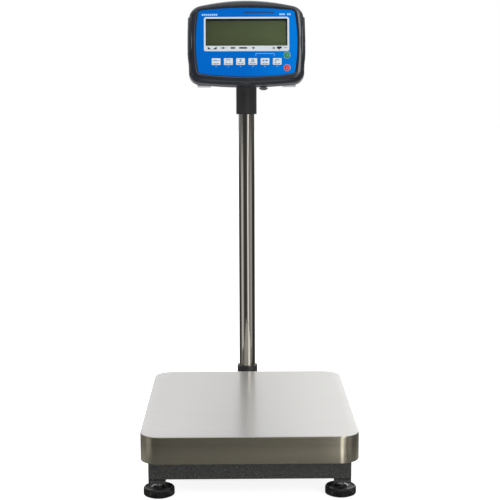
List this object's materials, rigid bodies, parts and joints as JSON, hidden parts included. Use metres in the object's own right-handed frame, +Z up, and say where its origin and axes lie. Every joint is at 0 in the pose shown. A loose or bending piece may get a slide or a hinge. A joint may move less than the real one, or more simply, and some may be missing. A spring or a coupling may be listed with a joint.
{
  "type": "bench scale",
  "caption": "Platform bench scale: stainless platter on a levelling steel base, with a rear column that carries a tilting indicator with a display and keys.",
  "frame": {"origin": "on the floor, in the middle of the scale's footprint, with the feet's pads on z = 0", "axes": "+Z is up. The display faces -Y, toward the user. +X is the user's right. The column stands at the back, on the +Y side."},
  "size_m": [0.4, 0.5695, 0.9106],
  "materials": {
    "stainless": "brushed, satin",
    "frame_paint": "hammertone",
    "zinc_steel": "zinc plated",
    "column_steel": "polished",
    "bracket_steel": "satin",
    "cell_aluminium": "anodised, satin",
    "socket_plastic": "matte",
    "knob_plastic": "gloss",
    "pad_rubber": "matte",
    "cable_jacket": "satin",
    "gland_plastic": "matte",
    "level_brass": "satin",
    "case_plastic": "fine grain",
    "case_feet_plastic": "matte",
    "overlay_film": "satin",
    "window_clear": "clear",
    "lcd": "satin",
    "board": "satin",
    "components": "matte",
    "battery_case": "satin",
    "key_white": "satin",
    "key_green": "satin",
    "key_red": "satin"
  },
  "bodies": {
    "base": {"side_rails": "frame_paint", "end_rails": "frame_paint", "center_rail": "frame_paint", "foot_blocks": "frame_paint", "foot_locknuts": "zinc_steel", "load_cell": "cell_aluminium", "cell_spacers": "zinc_steel", "cell_bolts": "zinc_steel", "subframe_crossbar": "frame_paint", "subframe_arms": "frame_paint", "platter_pads": "pad_rubber", "overload_stops": "zinc_steel", "bubble_level": "level_brass", "load_cell_cable": "cable_jacket", "cable_grommets": "pad_rubber", "column_bracket": "frame_paint", "column_socket": "socket_plastic", "bracket_bolts": "zinc_steel", "socket_screws": "zinc_steel", "column": "column_steel"},
    "platter": {"platter": "stainless"},
    "sleeve": {"sleeve": "socket_plastic", "sleeve_screws": "zinc_steel", "tilt_bracket": "bracket_steel", "pivot_bolt": "zinc_steel", "pivot_nut": "zinc_steel"},
    "indicator": {"mount_plate": "bracket_steel", "rear_cover": "case_plastic", "case_gasket": "pad_rubber", "front_cover": "case_plastic", "overlay": "overlay_film", "display_window": "window_clear", "lcd_panel": "lcd", "display_board": "board", "main_board": "board", "board_components": "components", "battery": "battery_case", "case_feet": "case_feet_plastic", "cable_gland": "gland_plastic", "indicator_screws": "zinc_steel"},
    "pad_fl": {"foot_pad_fl": "pad_rubber"},
    "foot_fl": {"foot_knob_fl": "knob_plastic", "foot_stud_fl": "zinc_steel"},
    "pad_fr": {"foot_pad_fr": "pad_rubber"},
    "foot_fr": {"foot_knob_fr": "knob_plastic", "foot_stud_fr": "zinc_steel"},
    "pad_bl": {"foot_pad_bl": "pad_rubber"},
    "foot_bl": {"foot_knob_bl": "knob_plastic", "foot_stud_bl": "zinc_steel"},
    "pad_br": {"foot_pad_br": "pad_rubber"},
    "foot_br": {"foot_knob_br": "knob_plastic", "foot_stud_br": "zinc_steel"},
    "key_1": {"key_1": "key_white"},
    "key_2": {"key_2": "key_white"},
    "key_3": {"key_3": "key_white"},
    "key_4": {"key_4": "key_white"},
    "key_5": {"key_5": "key_white"},
    "key_6": {"key_6": "key_white"},
    "key_on": {"key_on": "key_green"},
    "key_off": {"key_off": "key_red"}
  },
  "joints": [
    {"name": "platter_lift", "type": "slide", "parent": "base", "child": "platter", "axis": [0, 0, 1], "range_m": [0, 0.1]},
    {"name": "sleeve_swivel", "type": "hinge", "parent": "base", "child": "sleeve", "pos_m": [0, 0.255, 0.75], "axis": [0, 0, 1], "range_deg": [-90, 90]},
    {"name": "indicator_tilt", "type": "hinge", "parent": "sleeve", "child": "indicator", "pos_m": [0, 0.217, 0.8125], "axis": [-1, 0, 0], "range_deg": [-27, 28]},
    {"name": "foot_rise_fl", "type": "slide", "parent": "base", "child": "pad_fl", "axis": [0, 0, 1], "range_m": [-0.012, 0.003]},
    {"name": "foot_turn_fl", "type": "hinge", "parent": "pad_fl", "child": "foot_fl", "pos_m": [-0.1665, -0.255, 0.01], "axis": [0, 0, 1], "range_deg": [-2888, 728]},
    {"name": "foot_rise_fr", "type": "slide", "parent": "base", "child": "pad_fr", "axis": [0, 0, 1], "range_m": [-0.012, 0.003]},
    {"name": "foot_turn_fr", "type": "hinge", "parent": "pad_fr", "child": "foot_fr", "pos_m": [0.1665, -0.255, 0.01], "axis": [0, 0, 1], "range_deg": [-2888, 728]},
    {"name": "foot_rise_bl", "type": "slide", "parent": "base", "child": "pad_bl", "axis": [0, 0, 1], "range_m": [-0.012, 0.003]},
    {"name": "foot_turn_bl", "type": "hinge", "parent": "pad_bl", "child": "foot_bl", "pos_m": [-0.1665, 0.185, 0.01], "axis": [0, 0, 1], "range_deg": [-2888, 728]},
    {"name": "foot_rise_br", "type": "slide", "parent": "base", "child": "pad_br", "axis": [0, 0, 1], "range_m": [-0.012, 0.003]},
    {"name": "foot_turn_br", "type": "hinge", "parent": "pad_br", "child": "foot_br", "pos_m": [0.1665, 0.185, 0.01], "axis": [0, 0, 1], "range_deg": [-2888, 728]},
    {"name": "key_1_press", "type": "slide", "parent": "indicator", "child": "key_1", "axis": [0, 0.9781, -0.2079], "range_m": [0, 0.0005], "stiffness_N_per_m": 1000},
    {"name": "key_2_press", "type": "slide", "parent": "indicator", "child": "key_2", "axis": [0, 0.9781, -0.2079], "range_m": [0, 0.0005], "stiffness_N_per_m": 1000},
    {"name": "key_3_press", "type": "slide", "parent": "indicator", "child": "key_3", "axis": [0, 0.9781, -0.2079], "range_m": [0, 0.0005], "stiffness_N_per_m": 1000},
    {"name": "key_4_press", "type": "slide", "parent": "indicator", "child": "key_4", "axis": [0, 0.9781, -0.2079], "range_m": [0, 0.0005], "stiffness_N_per_m": 1000},
    {"name": "key_5_press", "type": "slide", "parent": "indicator", "child": "key_5", "axis": [0, 0.9781, -0.2079], "range_m": [0, 0.0005], "stiffness_N_per_m": 1000},
    {"name": "key_6_press", "type": "slide", "parent": "indicator", "child": "key_6", "axis": [0, 0.9781, -0.2079], "range_m": [0, 0.0005], "stiffness_N_per_m": 1000},
    {"name": "key_on_press", "type": "slide", "parent": "indicator", "child": "key_on", "axis": [0, 0.9781, -0.2079], "range_m": [0, 0.0005], "stiffness_N_per_m": 1000},
    {"name": "key_off_press", "type": "slide", "parent": "indicator", "child": "key_off", "axis": [0, 0.9781, -0.2079], "range_m": [0, 0.0005], "stiffness_N_per_m": 1000}
  ],
  "couplings": [
    {"joint": "foot_turn_fl", "follows": "foot_rise_fl", "rad_per_m": 4188.8},
    {"joint": "foot_turn_fr", "follows": "foot_rise_fr", "rad_per_m": 4188.8},
    {"joint": "foot_turn_bl", "follows": "foot_rise_bl", "rad_per_m": 4188.8},
    {"joint": "foot_turn_br", "follows": "foot_rise_br", "rad_per_m": 4188.8}
  ]
}
